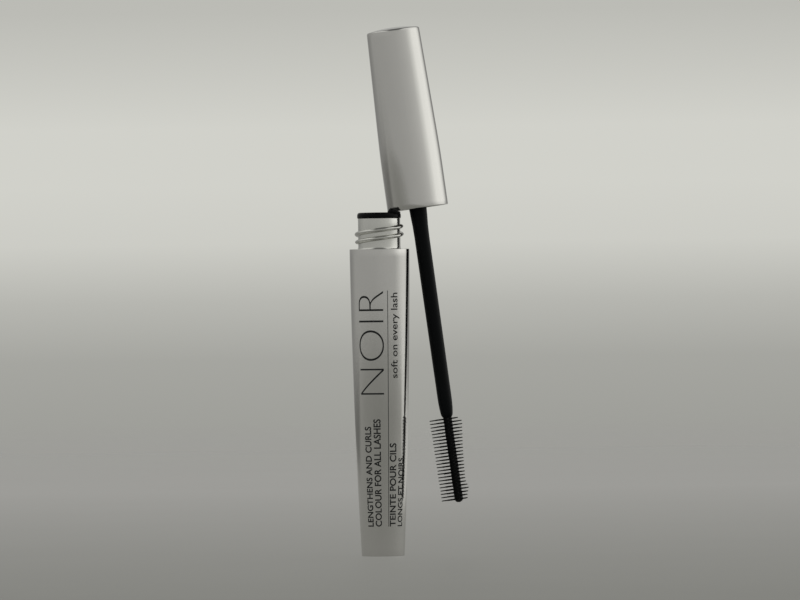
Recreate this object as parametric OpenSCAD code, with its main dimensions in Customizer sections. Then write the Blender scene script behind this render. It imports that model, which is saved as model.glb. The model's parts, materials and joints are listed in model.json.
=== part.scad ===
// Mascara tube, open: the bottle stands on its base and the applicator leans on its rim.
// Origin: centre of the bottle's base. +Z up the bottle, +X towards the side the wand hangs on.

/* [Sleeve] */
// Height of the silver sleeve, from the floor to its square shoulder
sleeve_h = 82.8; // [78:0.1:90]
// Outside diameter of the sleeve at the shoulder
sleeve_top_d = 16.15; // [16.15:0.05:17]
// Outside diameter of the sleeve at the base
sleeve_base_d = 11.6; // [11.6:0.05:13]
// How far the side of the sleeve swells past a straight taper, on the radius
sleeve_bulge = 0.43; // [0.2:0.01:0.8]
// Wall thickness of the sleeve
sleeve_wall = 0.7; // [0.5:0.05:0.7]

/* [Vial and neck] */
// Diameter of the neck between its threads
neck_d = 11.4; // [11.2:0.05:11.6]
// Diameter over the crests of the neck thread
thread_d = 13.3; // [12.9:0.05:13.35]
// Height of the neck above the shoulder, up to the seat of the wiper flange
neck_h = 8.32; // [8:0.02:9]
// Advance of the two-start thread in one turn
thread_lead = 4.4; // [4:0.1:4.8]
// Bore of the neck, which holds the wiper
neck_bore_d = 9.5; // [9:0.1:9.6]
// Inside diameter of the vial at its floor
vial_floor_d = 8.9; // [8:0.1:9]
// Wall thickness of the vial
vial_wall = 0.6; // [0.5:0.05:0.7]

/* [Wiper] */
// Diameter of the wiper flange
flange_d = 11.8; // [11.4:0.1:12.2]
// Thickness of the wiper flange
flange_t = 1.51; // [1.2:0.01:1.6]
// Orifice that wipes the rod
orifice_d = 4.0; // [3.9:0.05:4.6]

/* [Cap] */
// Height of the cap's side, from the mouth to its top edge
cap_h = 48.7; // [44:0.1:54]
// Largest diameter of the cap
cap_d = 16.5; // [16.4:0.05:17]
// How fast the upper cap narrows: diameter lost for each millimetre of height
cap_taper = 0.065; // [0.04:0.005:0.07]
// Height at which the cap starts to narrow
cap_break_h = 14.5; // [12:0.5:20]
// Rise of the domed crown above the top edge
crown_h = 0.66; // [0.3:0.02:1]
// Wall thickness of the cap
cap_wall = 0.8; // [0.6:0.05:0.85]

/* [Applicator] */
// Diameter of the rod
rod_d = 3.85; // [3.5:0.01:3.85]
// Length of the rod below the mouth of the cap
rod_reach = 57.1; // [50:0.1:58]
// Number of rings of bristles
ring_count = 25; // [15:1:25]
// Distance between two rings
ring_pitch = 0.91; // [0.8:0.01:0.95]
// Number of bristles in a ring
row_count = 8; // [6:1:10]
// Diameter of the brush core
core_d = 2.3; // [2.2:0.1:2.8]

/* [Pose] */
// Lean of the applicator from upright
lean = 7.3; // [7:0.1:7.6]
// Centre of the cap's mouth, across
mouth_x = 10.53; // [10.5:0.01:11.5]
// Centre of the cap's mouth, in depth
mouth_y = 2.75; // [2.5:0.05:3.5]
// Centre of the cap's mouth, in height
mouth_z = 93.74; // [93.72:0.01:94.5]

/* [Hidden] */
$fn = 96;

silver = [0.66, 0.66, 0.64];
neck_grey = [0.56, 0.57, 0.54];
ink_black = [0.03, 0.03, 0.035];
side_steps = 14;

// Bottle, from the floor up
sleeve_gap = 0.04;
plug_t = 0.9;
vial_base_z = 1.0;
vial_floor_t = 0.7;
vial_shoulder_z = sleeve_h - 6.4;
vial_seat_z = sleeve_h - 3.2;
vial_top_z = sleeve_h - 0.3;
neck_top_z = sleeve_h + neck_h;
neck_flare = 0.9;
flange_z = neck_top_z + 0.04;
flange_top_z = flange_z + flange_t;
flange_round = 0.7;
paste_top_z = 58;
paste_channel_d = 6.6;

// Thread: trapezium section, two starts
thread_root_w = 1.35;
thread_crest_w = 0.55;
thread_step = 12;
thread_bite = 0.2;
thread_start_z = sleeve_h + 1.83;

// Applicator, measured from the mouth of the cap along its own axis
inner_rim_h = 0.35;
socket_d = 13.5;
socket_h = 10.8;
roof_t = 1.5;
boss_d = 7.4;
boss_h = 22;
inner_cap_d = 14.66;
washer_t = 1.0;
washer_z = 9.7;
collar_d = 7.0;
collar_h = 0.7;
rod_top_h = 20;
rod_seat_d = 5.84;
rod_nose = 6;
peg_d = 1.8;
peg_l = 7;
core_tip = 0.9;
first_ring_gap = 0.4;
ring_t = 0.28;
bristle_root_w = 0.32;
bristle_tip_w = 0.18;

// Outside radius of the sleeve at height z
function sleeve_r(z) =
    let (t = z / sleeve_h)
    (sleeve_base_d + (sleeve_top_d - sleeve_base_d) * t) / 2 + 4 * sleeve_bulge * t * (1 - t);

// Outside radius of the cap at height h above its mouth: straight below, then a steady taper
function cap_r(h) =
    let (rise = h - cap_break_h)
    (cap_d - cap_taper / 2 * (rise + sqrt(rise * rise + 16))) / 2;

// Inside radius of the vial's straight taper at height z
function vial_bore_r(z) =
    let (t = (z - vial_base_z) / (vial_shoulder_z - vial_base_z))
    vial_floor_d / 2 + 1.55 * t;

// Points of a quarter round about [cx, cy], from angle a to angle b
function arc(cx, cy, r, a, b, n = 6) =
    [for (i = [0:n]) let (t = a + (b - a) * i / n) [cx + r * cos(t), cy + r * sin(t)]];

// Reach of a bristle from the axis, u = 0 at the first ring and 1 at the last
function short_side(u) = 2.5 + 1.65 * pow(1 - u, 2) + 0.6 * exp(-pow((u - 0.87) / 0.06, 2));
function long_side(u) = 4.95 - 0.2 * u;
function reach(u, angle) =
    let (blend = (1 + cos(angle)) / 2, start = min(1, 0.7 + 6 * u))
    start * short_side(u) * blend + long_side(u) * (1 - blend);

function turned(p, angle) =
    [p[0] * cos(angle) - p[1] * sin(angle), p[0] * sin(angle) + p[1] * cos(angle)];

// A thread ridge from angle a to angle b; foot_r is buried in the wall and both ends run out
module ridge(foot_r, crest_r, z0, lead, a, b) {
    n = ceil((b - a) / thread_step);
    function fade(i) = min(1, 3 * i / n, 3 * (n - i) / n);
    function crest(i) = foot_r + (crest_r - foot_r) * max(0.25, fade(i));
    function section(i) =
        let (t = a + (b - a) * i / n, z = z0 + lead * (t - a) / 360)
        [for (p = [[foot_r, -thread_root_w], [crest(i), -thread_crest_w],
                   [crest(i), thread_crest_w], [foot_r, thread_root_w]])
            [p[0] * cos(t), p[0] * sin(t), z + p[1] / 2]];
    points = [for (i = [0:n]) each section(i)];
    sides = [for (i = [0:n - 1], k = [0:3])
        [4 * i + k, 4 * i + (k + 1) % 4, 4 * i + 4 + (k + 1) % 4, 4 * i + 4 + k]];
    halves = [for (f = sides) each [[f[0], f[1], f[2]], [f[0], f[2], f[3]]]];
    flip = crest_r > foot_r;
    faces = concat(halves, [[3, 2, 1], [3, 1, 0]],
        [[4 * n, 4 * n + 1, 4 * n + 2], [4 * n, 4 * n + 2, 4 * n + 3]]);
    polyhedron(points, flip ? faces : [for (f = faces) [f[2], f[1], f[0]]]);
}

// Puts a part of the applicator, drawn about the mouth of the cap, where it leans
module leaning() {
    translate([mouth_x, mouth_y, mouth_z]) rotate([0, -lean, 0]) children();
}

module bottle_shell() {
    edge = 0.25;
    outside = [for (i = [0:side_steps])
        let (z = edge + (sleeve_h - 2 * edge) * i / side_steps) [sleeve_r(z), z]];
    inside = [for (i = [side_steps:-1:0])
        let (z = sleeve_h * i / side_steps) [sleeve_r(z) - sleeve_wall, z]];
    color(silver) rotate_extrude()
        polygon(concat([[sleeve_r(0) - edge, 0]], outside, [[sleeve_r(sleeve_h) - edge, sleeve_h]],
            inside));
}

module base_plug() {
    r = sleeve_base_d / 2 - sleeve_wall - sleeve_gap;
    color(silver) difference() {
        cylinder(h = plug_t, r = r);
        translate([0, 0, plug_t - 0.25]) cylinder(h = 1, r = r - 1);
    }
}

module vial() {
    seat_r = sleeve_r(vial_seat_z) - sleeve_wall - sleeve_gap;
    neck_r = neck_d / 2;
    floor_z = vial_base_z + vial_floor_t;
    base_r = vial_bore_r(vial_base_z) + vial_wall;
    color(neck_grey) union() {
        rotate_extrude() polygon(concat(
            [[0, vial_base_z], [base_r - 0.4, vial_base_z], [base_r, vial_base_z + 0.5],
             [vial_bore_r(vial_shoulder_z) + vial_wall, vial_shoulder_z],
             [seat_r, vial_seat_z], [seat_r, vial_top_z], [neck_r + neck_flare, vial_top_z]],
            arc(neck_r + neck_flare, vial_top_z + neck_flare, neck_flare, 270, 180),
            [[neck_r, neck_top_z], [neck_bore_d / 2, neck_top_z], [neck_bore_d / 2, vial_seat_z],
             [vial_bore_r(vial_shoulder_z), vial_shoulder_z - 1],
             [vial_bore_r(floor_z + 0.4), floor_z + 0.4],
             [vial_bore_r(floor_z) - 0.4, floor_z], [0, floor_z]]));
        ridge(neck_r - thread_bite, thread_d / 2, thread_start_z - thread_lead * 8 / 360,
            thread_lead, 172, 460);
        ridge(neck_r - thread_bite, thread_d / 2, thread_start_z + thread_lead * 80 / 360,
            thread_lead, 80, 368);
    }
}

module wiper() {
    r = flange_d / 2;
    tube_r = neck_bore_d / 2 - 0.03;
    lip_r = orifice_d / 2;
    wall = 0.6;
    tube_z = flange_top_z - 6;
    orifice_z = flange_top_z - 11.5;
    color(ink_black) rotate_extrude() polygon(concat(
        [[lip_r, orifice_z], [lip_r + wall, orifice_z], [lip_r + wall, orifice_z + 0.8],
         [tube_r, tube_z], [tube_r, flange_z], [r - 0.2, flange_z], [r, flange_z + 0.2]],
        arc(r - flange_round, flange_top_z - flange_round, flange_round, 0, 90),
        arc(tube_r - wall + 0.4, flange_top_z - 0.4, 0.4, 90, 180),
        [[tube_r - wall, tube_z], [lip_r, orifice_z + 1.2]]));
}

module mascara_paste() {
    low = vial_base_z + vial_floor_t + 0.45;
    film = 0.05;
    color(ink_black) rotate_extrude() polygon([
        [0, low], [vial_bore_r(low) - film, low],
        [vial_bore_r(paste_top_z) - film, paste_top_z], [vial_bore_r(paste_top_z) - 0.5, paste_top_z],
        [paste_channel_d / 2, paste_top_z - 3], [paste_channel_d / 2, low + 0.6], [0, low + 0.6]]);
}

module mascara_bead() {
    color(ink_black) difference() {
        union() {
            hull() {
                translate([3.65, -3.35, flange_top_z + 0.5]) sphere(r = 0.58, $fn = 20);
                translate([2.8, -3.8, flange_top_z]) sphere(r = 0.55, $fn = 20);
            }
            hull() {
                translate([3.9, -3.4, flange_top_z + 0.1]) sphere(r = 0.32, $fn = 20);
                translate([5.15, -2.5, flange_top_z - 0.1]) sphere(r = 0.32, $fn = 20);
            }
        }
        translate([0, 0, flange_top_z - 2]) cylinder(h = 2, r = flange_d);
    }
}

module sealing_washer() {
    color([0.85, 0.85, 0.82]) leaning() translate([0, 0, washer_z]) difference() {
        cylinder(h = washer_t, d = socket_d - 0.4);
        translate([0, 0, -1]) cylinder(h = washer_t + 2, d = rod_seat_d + 0.16);
    }
}

module cap_shell() {
    edge = 0.5;
    lip = 0.2;
    top_r = cap_r(cap_h);
    roof_z = cap_h - cap_wall + 0.2;
    dome_r = (pow(top_r - edge, 2) + pow(crown_h, 2)) / (2 * crown_h);
    dome_angle = asin((top_r - edge) / dome_r);
    side = [for (i = [0:side_steps])
        let (h = lip + (cap_h - edge - lip) * i / side_steps) [cap_r(h), h]];
    inside = [for (i = [side_steps:-1:0])
        let (h = roof_z * i / side_steps) [cap_r(h) - cap_wall, h]];
    color(silver) leaning() rotate_extrude() polygon(concat(
        [[cap_r(0) - lip, 0]], side,
        arc(top_r - edge, cap_h - edge, edge, 30, 90, 3),
        [for (i = [1:5]) let (t = dome_angle * (1 - i / 5))
            [dome_r * sin(t), cap_h + crown_h + dome_r * (cos(t) - 1)]],
        [[0, roof_z]], inside));
}

module inner_cap() {
    r = inner_cap_d / 2;
    top_r = cap_r(boss_h - 4) - cap_wall - 0.05;
    color([0.8, 0.8, 0.78]) leaning() union() {
        difference() {
            rotate_extrude() polygon([
                [0, socket_h], [socket_d / 2, socket_h], [socket_d / 2, inner_rim_h + 0.3],
                [socket_d / 2 + 0.3, inner_rim_h], [r - 0.1, inner_rim_h], [r, inner_rim_h + 0.1],
                [r, socket_h], [top_r, socket_h + roof_t + 3], [top_r, boss_h - 4],
                [top_r - 0.6, boss_h - 4], [top_r - 0.6, socket_h + roof_t + 2],
                [boss_d / 2, socket_h + roof_t], [boss_d / 2, boss_h], [0, boss_h]]);
            translate([0, 0, socket_h - 1]) cylinder(h = rod_top_h - socket_h + 1.05, d = rod_seat_d + 0.04);
        }
        for (turn = [0, 180])
            rotate([0, 0, turn])
                ridge(socket_d / 2 + thread_bite, neck_d / 2 + 0.3, 2.7, thread_lead, 180, 420);
    }
}

module rod() {
    r = rod_d / 2;
    seat_r = rod_seat_d / 2;
    nose_h = rod_nose - rod_reach;
    tip_r = core_d / 2 + 0.1;
    nose = [for (i = [0:6]) let (t = i / 6)
        [tip_r + (r - tip_r) * sqrt(1 - pow(1 - t, 2)), -rod_reach + rod_nose * t]];
    color(ink_black) leaning() difference() {
        rotate_extrude() polygon(concat([[0, -rod_reach]], nose, [
            [r + 0.1, -8], [r + 0.18, -4.7], [r + 0.36, -2], [r + 0.45, 0], [seat_r - 0.2, 6],
            [seat_r, washer_z - 0.1 - collar_h], [collar_d / 2, washer_z - 0.1 - collar_h],
            [collar_d / 2, washer_z - 0.1], [seat_r, washer_z - 0.1],
            [seat_r, rod_top_h - 0.5], [seat_r - 0.5, rod_top_h], [0, rod_top_h]]));
        translate([0, 0, -rod_reach - 1]) cylinder(h = peg_l + 1.05, d = peg_d + 0.04, $fn = 48);
    }
}

module brush() {
    core_r = core_d / 2;
    first = -rod_reach - first_ring_gap;
    last = first - (ring_count - 1) * ring_pitch;
    color(ink_black) leaning() union() {
        rotate_extrude($fn = 48) polygon(concat(
            arc(0, last - core_tip + core_r, core_r, 270, 360, 8),
            [[core_r, -rod_reach - 0.02], [peg_d / 2, -rod_reach - 0.02],
             [peg_d / 2, peg_l - rod_reach], [0, peg_l - rod_reach]]));
        for (i = [0:ring_count - 1])
            translate([0, 0, first - i * ring_pitch - ring_t / 2]) linear_extrude(ring_t)
                polygon([for (k = [0:row_count - 1])
                    let (angle = 360 * k / row_count, far = reach(i / (ring_count - 1), angle))
                    for (p = [[core_r - 0.2, -bristle_root_w / 2], [far, -bristle_tip_w / 2],
                              [far, bristle_tip_w / 2], [core_r - 0.2, bristle_root_w / 2]])
                        turned(p, angle)]);
    }
}

bottle_shell();
base_plug();
vial();
wiper();
mascara_paste();
mascara_bead();
sealing_washer();
cap_shell();
inner_cap();
rod();
brush();
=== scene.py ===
"""Looks of an open mascara tube: a silver bottle, and the applicator that leans on its rim."""

import json
import logging
import math
import random
from collections.abc import Callable, Iterable
from dataclasses import dataclass, field
from enum import Enum

import bpy
from mathutils import Matrix, Vector


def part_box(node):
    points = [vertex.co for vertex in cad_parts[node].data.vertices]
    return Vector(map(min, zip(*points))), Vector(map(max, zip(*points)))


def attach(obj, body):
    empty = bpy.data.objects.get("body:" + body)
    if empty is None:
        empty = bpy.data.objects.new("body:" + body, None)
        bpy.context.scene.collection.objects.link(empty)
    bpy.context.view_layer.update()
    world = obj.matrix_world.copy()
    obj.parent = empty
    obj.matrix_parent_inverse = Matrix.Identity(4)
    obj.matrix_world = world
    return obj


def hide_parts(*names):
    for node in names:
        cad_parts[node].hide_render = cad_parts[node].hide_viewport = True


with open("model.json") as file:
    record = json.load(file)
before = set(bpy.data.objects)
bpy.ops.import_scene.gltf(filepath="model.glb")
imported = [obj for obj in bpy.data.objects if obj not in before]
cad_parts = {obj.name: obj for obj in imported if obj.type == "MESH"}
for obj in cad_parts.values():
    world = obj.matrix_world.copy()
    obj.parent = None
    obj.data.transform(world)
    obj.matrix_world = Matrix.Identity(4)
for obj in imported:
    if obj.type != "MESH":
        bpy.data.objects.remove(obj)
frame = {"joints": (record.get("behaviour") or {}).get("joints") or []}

MM = 0.001
MERGE_GAP = 0.0005 * MM
LOG = logging.getLogger("mascara_tube")

Outline = list[tuple[float, float]]


class Body(Enum):
    """The rigid bodies that a piece can move with."""

    BOTTLE = "bottle"
    SEAL = "seal"
    APPLICATOR = "applicator"


class Slot(Enum):
    """The material slots of the record."""

    SILVER = "silver_shell"
    NECK = "neck_plastic"
    RUBBER = "wiper_rubber"
    MASCARA = "mascara"
    FOAM = "washer_foam"
    INNER = "inner_plastic"
    ROD = "rod_plastic"
    BRUSH = "brush_plastic"
    INK = "print_ink"


# ---------------------------------------------------------------- the modelling bench


class Bench:
    """Selections and operators that every piece is made with."""

    @staticmethod
    def clear() -> None:
        """Leaves edit mode and deselects every object."""
        if bpy.context.object and bpy.context.object.mode != "OBJECT":
            bpy.ops.object.mode_set(mode="OBJECT")
        bpy.ops.object.select_all(action="DESELECT")

    @staticmethod
    def take(*pieces: bpy.types.Object) -> None:
        """Selects only these objects and makes the first one active.

        Args:
            pieces: the objects to select.
        """
        Bench.clear()
        for piece in pieces:
            piece.select_set(True)
        bpy.context.view_layer.objects.active = pieces[0]

    @staticmethod
    def edit(piece: bpy.types.Object, select: str = "VERT") -> None:
        """Opens a piece in edit mode with all of it selected.

        Args:
            piece: the mesh object to edit.
            select: what the selection is made of, VERT, EDGE or FACE.
        """
        Bench.take(piece)
        bpy.ops.object.mode_set(mode="EDIT")
        bpy.ops.mesh.select_mode(type=select)
        bpy.ops.mesh.select_all(action="SELECT")

    @staticmethod
    def close() -> None:
        """Fills the open ends of the piece in edit mode and turns its faces outwards."""
        bpy.ops.mesh.select_all(action="SELECT")
        bpy.ops.mesh.fill_holes(sides=0)
        bpy.ops.mesh.select_all(action="SELECT")
        bpy.ops.mesh.normals_make_consistent(inside=False)

    @staticmethod
    def bake_place(piece: bpy.types.Object) -> None:
        """Moves the object's place into its mesh, so that it sits at the origin.

        Args:
            piece: the mesh object to settle.
        """
        Bench.take(piece)
        bpy.ops.object.transform_apply(location=True, rotation=True, scale=True)

    @staticmethod
    def modify(piece: bpy.types.Object, kind: str, **settings: object) -> None:
        """Adds a modifier and applies it.

        Args:
            piece: the mesh object.
            kind: the modifier's type.
            settings: the modifier's properties.
        """
        Bench.take(piece)
        modifier = piece.modifiers.new(kind.title(), kind)
        for key, value in settings.items():
            setattr(modifier, key, value)
        bpy.ops.object.modifier_apply(modifier=modifier.name)

    @staticmethod
    def roughen(piece: bpy.types.Object, grain: float, depth: float,
                where: Callable[[Vector], bool]) -> None:
        """Gives a mesh the soft lumps that wet product dries to.

        Args:
            piece: the mesh object.
            grain: the size of a lump in metres.
            depth: how far a lump stands out, in metres.
            where: says of a point of the mesh whether it is roughened.
        """
        lumps = bpy.data.textures.new(f"{piece.name}_lumps", "CLOUDS")
        lumps.noise_scale = grain
        lumps.noise_depth = 2
        group = piece.vertex_groups.new(name="rough")
        group.add([v.index for v in piece.data.vertices if where(v.co)], 1.0, "ADD")
        Bench.modify(piece, "DISPLACE", texture=lumps, strength=depth, vertex_group=group.name)
        piece.vertex_groups.clear()

    @staticmethod
    def join(name: str, pieces: list[bpy.types.Object]) -> bpy.types.Object:
        """Joins several meshes into one piece.

        Args:
            name: the name of the joined piece.
            pieces: the meshes, the first of which takes in the others.

        Returns:
            The joined object.
        """
        Bench.take(*pieces)
        bpy.ops.object.join()
        joined = bpy.context.object
        joined.name = name
        joined.data.name = name
        return joined

    @staticmethod
    def smooth(piece: bpy.types.Object, sharp: float = 38.0) -> None:
        """Shades a piece smooth, with edges sharper than an angle left crisp.

        Args:
            piece: the mesh object.
            sharp: the angle in degrees past which an edge stays sharp.
        """
        Bench.take(piece)
        bpy.ops.object.shade_smooth_by_angle(angle=math.radians(sharp))


class Turning:
    """A round piece about the Z axis, drawn up from one ring, station by station."""

    def __init__(self, name: str, radius: float, height: float, sides: int = 128) -> None:
        """Starts the piece with its first ring.

        Args:
            name: the piece's name.
            radius: the first ring's radius in metres.
            height: the first ring's height in metres.
            sides: how many vertices a ring has.
        """
        Bench.clear()
        bpy.ops.mesh.primitive_circle_add(
            vertices=sides, radius=radius, location=(0, 0, height), fill_type="NOTHING"
        )
        self.piece = bpy.context.object
        self.piece.name = name
        self.piece.data.name = name
        self.radius = radius
        self.height = height
        Bench.edit(self.piece, "EDGE")

    def to(self, radius: float, height: float) -> "Turning":
        """Extrudes the last ring to a new radius and height.

        Args:
            radius: the new ring's radius in metres.
            height: the new ring's height in metres.

        Returns:
            This turning.
        """
        rise = height - self.height
        bpy.ops.mesh.extrude_region_move(TRANSFORM_OT_translate={"value": (0, 0, rise)})
        share = radius / self.radius
        bpy.ops.transform.resize(value=(share, share, 1), center_override=(0, 0, height))
        self.radius = radius
        self.height = height
        return self

    def along(self, outline: Iterable[tuple[float, float]]) -> "Turning":
        """Extrudes through a row of stations.

        Args:
            outline: radius and height of each station, in metres.

        Returns:
            This turning.
        """
        for radius, height in outline:
            self.to(radius, height)
        return self

    def to_point(self, height: float) -> "Turning":
        """Closes the last ring to a pole on the axis.

        Args:
            height: the pole's height in metres.

        Returns:
            This turning.
        """
        rise = height - self.height
        bpy.ops.mesh.extrude_region_move(TRANSFORM_OT_translate={"value": (0, 0, rise)})
        bpy.ops.mesh.merge(type="CENTER")
        return self

    def done(self, sharp: float = 38.0) -> bpy.types.Object:
        """Merges what meets, closes an open end, turns the faces outwards and settles the piece.

        Args:
            sharp: the angle in degrees past which an edge stays sharp.

        Returns:
            The finished object.
        """
        bpy.ops.mesh.select_all(action="SELECT")
        bpy.ops.mesh.remove_doubles(threshold=MERGE_GAP)
        Bench.close()
        Bench.bake_place(self.piece)
        Bench.smooth(self.piece, sharp)
        return self.piece


def fillet(centre: tuple[float, float], radius: float, start: float, end: float,
           steps: int = 6) -> Outline:
    """Stations round an arc of an outline.

    Args:
        centre: the arc's centre, as radius and height.
        radius: the arc's own radius.
        start: the first angle in degrees, 0 pointing outwards and 90 up.
        end: the last angle in degrees.
        steps: how many steps the arc is cut into.

    Returns:
        The stations, both ends included.
    """
    angles = [math.radians(start + (end - start) * i / steps) for i in range(steps + 1)]
    return [(centre[0] + radius * math.cos(a), centre[1] + radius * math.sin(a)) for a in angles]


def sampled(radius_at: Callable[[float], float], start: float, end: float, steps: int) -> Outline:
    """Stations along a side whose radius follows a rule.

    Args:
        radius_at: gives the radius at a height.
        start: the first height.
        end: the last height.
        steps: how many steps the side is cut into.

    Returns:
        The stations, both ends included.
    """
    heights = [start + (end - start) * i / steps for i in range(steps + 1)]
    return [(radius_at(h), h) for h in heights]


def helix_ridge(name: str, wall: float, crest: float, width: float, start_height: float,
                lead: float, first: float, last: float) -> bpy.types.Object:
    """A moulded thread ridge, swept round the axis, its ends running out into the wall.

    Args:
        name: the piece's name.
        wall: the radius of the wall that the ridge stands on.
        crest: the radius of the ridge's crest, outside or inside the wall.
        width: the ridge's width at its foot.
        start_height: the height of the ridge's middle at its first end.
        lead: the rise in one turn.
        first: the angle of its first end, in degrees from +X.
        last: the angle of its last end.

    Returns:
        The ridge as a closed mesh.
    """
    step, run_out, thin = 4.0, 5, 0.3
    steps = math.ceil((last - first) / step)
    turn = math.radians((last - first) / steps)
    Bench.clear()
    bpy.ops.mesh.primitive_circle_add(
        vertices=20, radius=width / 2, location=(wall, 0, start_height),
        rotation=(math.pi / 2, 0, 0), fill_type="NOTHING",
    )
    ridge = bpy.context.object
    ridge.name = name
    Bench.bake_place(ridge)
    Bench.edit(ridge, "EDGE")
    tallness = abs(crest - wall) / (width / 2)
    bpy.ops.transform.resize(value=(tallness, 1, 1), center_override=(wall, 0, start_height))

    def root(index: int) -> tuple[float, float, float]:
        """The section's centre after so many steps."""
        angle = turn * index
        height = start_height + lead * math.degrees(angle) / 360
        return (wall * math.cos(angle), wall * math.sin(angle), height)

    def share(index: int) -> float:
        """The section's size after so many steps, small at both ends."""
        edge = min(index, steps - index) / run_out
        return thin + (1 - thin) * math.sin(min(edge, 1.0) * math.pi / 2)

    size = share(0)
    bpy.ops.transform.resize(value=(size, size, size), center_override=root(0))
    for index in range(1, steps + 1):
        rise = lead * math.degrees(turn) / 360
        bpy.ops.mesh.extrude_region_move(TRANSFORM_OT_translate={"value": (0, 0, rise)})
        bpy.ops.transform.rotate(value=-turn, orient_axis="Z", center_override=(0, 0, 0))
        change = share(index) / size
        bpy.ops.transform.resize(value=(change, change, change), center_override=root(index))
        size = share(index)
    Bench.close()
    bpy.ops.object.mode_set(mode="OBJECT")
    ridge.rotation_euler = (0, 0, math.radians(first))
    Bench.bake_place(ridge)
    Bench.smooth(ridge, 60)
    return ridge


# ---------------------------------------------------------------- shader sheets


class Value:
    """A number that changes over a surface, which Python's operators work on."""

    def __init__(self, sheet: "Sheet", socket: bpy.types.NodeSocket) -> None:
        """Wraps a node's output.

        Args:
            sheet: the sheet that the node is on.
            socket: the output.
        """
        self.sheet = sheet
        self.socket = socket

    def _math(self, operation: str, first: object, second: object) -> "Value":
        """Adds a Math node and returns its result."""
        made = self.sheet.node(
            "ShaderNodeMath", {"operation": operation}, {0: first, 1: second}
        )
        return Value(self.sheet, made.outputs[0])

    def __add__(self, other: object) -> "Value":
        """This value plus another."""
        return self._math("ADD", self, other)

    def __radd__(self, other: object) -> "Value":
        """A number plus this value."""
        return self._math("ADD", other, self)

    def __sub__(self, other: object) -> "Value":
        """This value less another."""
        return self._math("SUBTRACT", self, other)

    def __rsub__(self, other: object) -> "Value":
        """A number less this value."""
        return self._math("SUBTRACT", other, self)

    def __mul__(self, other: object) -> "Value":
        """This value times another."""
        return self._math("MULTIPLY", self, other)

    def __rmul__(self, other: object) -> "Value":
        """A number times this value."""
        return self._math("MULTIPLY", other, self)

    def arctan(self, other: object) -> "Value":
        """The angle in radians whose sine and cosine go as this value and another."""
        return self._math("ARCTAN2", self, other)

    def size(self) -> "Value":
        """This value without its sign."""
        return self._math("ABSOLUTE", self, 0.0)

    def ramp(self, start: float, end: float) -> "Value":
        """How far this value is from a start to an end, from 0 to 1."""
        made = self.sheet.node("ShaderNodeMapRange", {}, {0: self, 1: start, 2: end})
        return Value(self.sheet, made.outputs[0])

    def over(self, limit: float) -> "Value":
        """1 where this value is past a limit, and 0 elsewhere."""
        return self._math("GREATER_THAN", self, limit)


class Sheet:
    """A node tree that is written from Python, one node at a time."""

    def __init__(self, tree: bpy.types.NodeTree) -> None:
        """Starts an empty sheet.

        Args:
            tree: the node tree, which is cleared.
        """
        self.tree = tree
        tree.nodes.clear()

    def node(self, kind: str, settings: dict[str, object] | None = None,
             inputs: dict[object, object] | None = None) -> bpy.types.Node:
        """Adds a node, sets it up and feeds its sockets.

        Args:
            kind: the node's type.
            settings: its own properties; "stops" gives the stops of a ramp.
            inputs: values, sockets or Values for its inputs, by name or number.

        Returns:
            The node.
        """
        made = self.tree.nodes.new(kind)
        for key, value in (settings or {}).items():
            if key == "stops":
                self._set_stops(made.color_ramp, value)
            else:
                setattr(made, key, value)
        for key, value in (inputs or {}).items():
            self.feed(made.inputs[key], value)
        return made

    @staticmethod
    def _set_stops(ramp: bpy.types.ColorRamp, stops: list[tuple[float, tuple]]) -> None:
        """Gives a ramp its stops."""
        while len(ramp.elements) > 1:
            ramp.elements.remove(ramp.elements[-1])
        ramp.elements[0].position = stops[0][0]
        ramp.elements[0].color = stops[0][1]
        for position, colour in stops[1:]:
            ramp.elements.new(position).color = colour

    def object_point(self) -> bpy.types.NodeSocket:
        """The point being shaded, in the object's own coordinates."""
        return self.node("ShaderNodeTexCoord").outputs["Object"]

    def noise(self, scale: float, detail: float = 2.0, draw: float = 1.0,
              lean: float = 0.0) -> Value:
        """A noise over the piece, from 0 to 1.

        Args:
            scale: how many features there are in a metre.
            detail: how many finer layers it has.
            draw: how many times the pattern is drawn out along the piece.
            lean: the piece's lean from upright about Y, in radians.

        Returns:
            The noise.
        """
        place = self.node(
            "ShaderNodeMapping", {"vector_type": "TEXTURE"},
            {"Vector": self.object_point(), "Scale": (1, 1, draw), "Rotation": (0, -lean, 0)},
        )
        made = self.node(
            "ShaderNodeTexNoise", {},
            {"Vector": place.outputs[0], "Scale": scale, "Detail": detail},
        )
        return Value(self, made.outputs["Fac"])

    def between(self, low: object, high: object, share: object) -> bpy.types.NodeSocket:
        """A colour between two others.

        Args:
            low: the colour at 0, as a tuple or a socket.
            high: the colour at 1, as a tuple or a socket.
            share: how far it is from low to high.

        Returns:
            The mixed colour.
        """
        low, high = (_rgba(c) if isinstance(c, tuple) else c for c in (low, high))
        made = self.node("ShaderNodeMix", {"data_type": "RGBA"}, {0: share, 6: low, 7: high})
        return made.outputs[2]

    def feed(self, target: bpy.types.NodeSocket, value: object) -> None:
        """Links a socket to a value, or sets it.

        Args:
            target: the input to feed.
            value: a Value, a socket, a number or a tuple.
        """
        if isinstance(value, Value):
            value = value.socket
        if isinstance(value, bpy.types.NodeSocket):
            self.tree.links.new(value, target)
        else:
            target.default_value = value

    def bump(self, height: Value, depth: float) -> bpy.types.NodeSocket:
        """The normal of a surface with a fine relief.

        Args:
            height: the relief, from 0 to 1.
            depth: its depth in metres.

        Returns:
            The normal.
        """
        made = self.node(
            "ShaderNodeBump", {}, {"Height": height, "Distance": depth, "Strength": 1.0}
        )
        return made.outputs["Normal"]


def _rgba(colour: tuple) -> tuple:
    """A colour with full alpha."""
    return (*colour[:3], 1.0)


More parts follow.
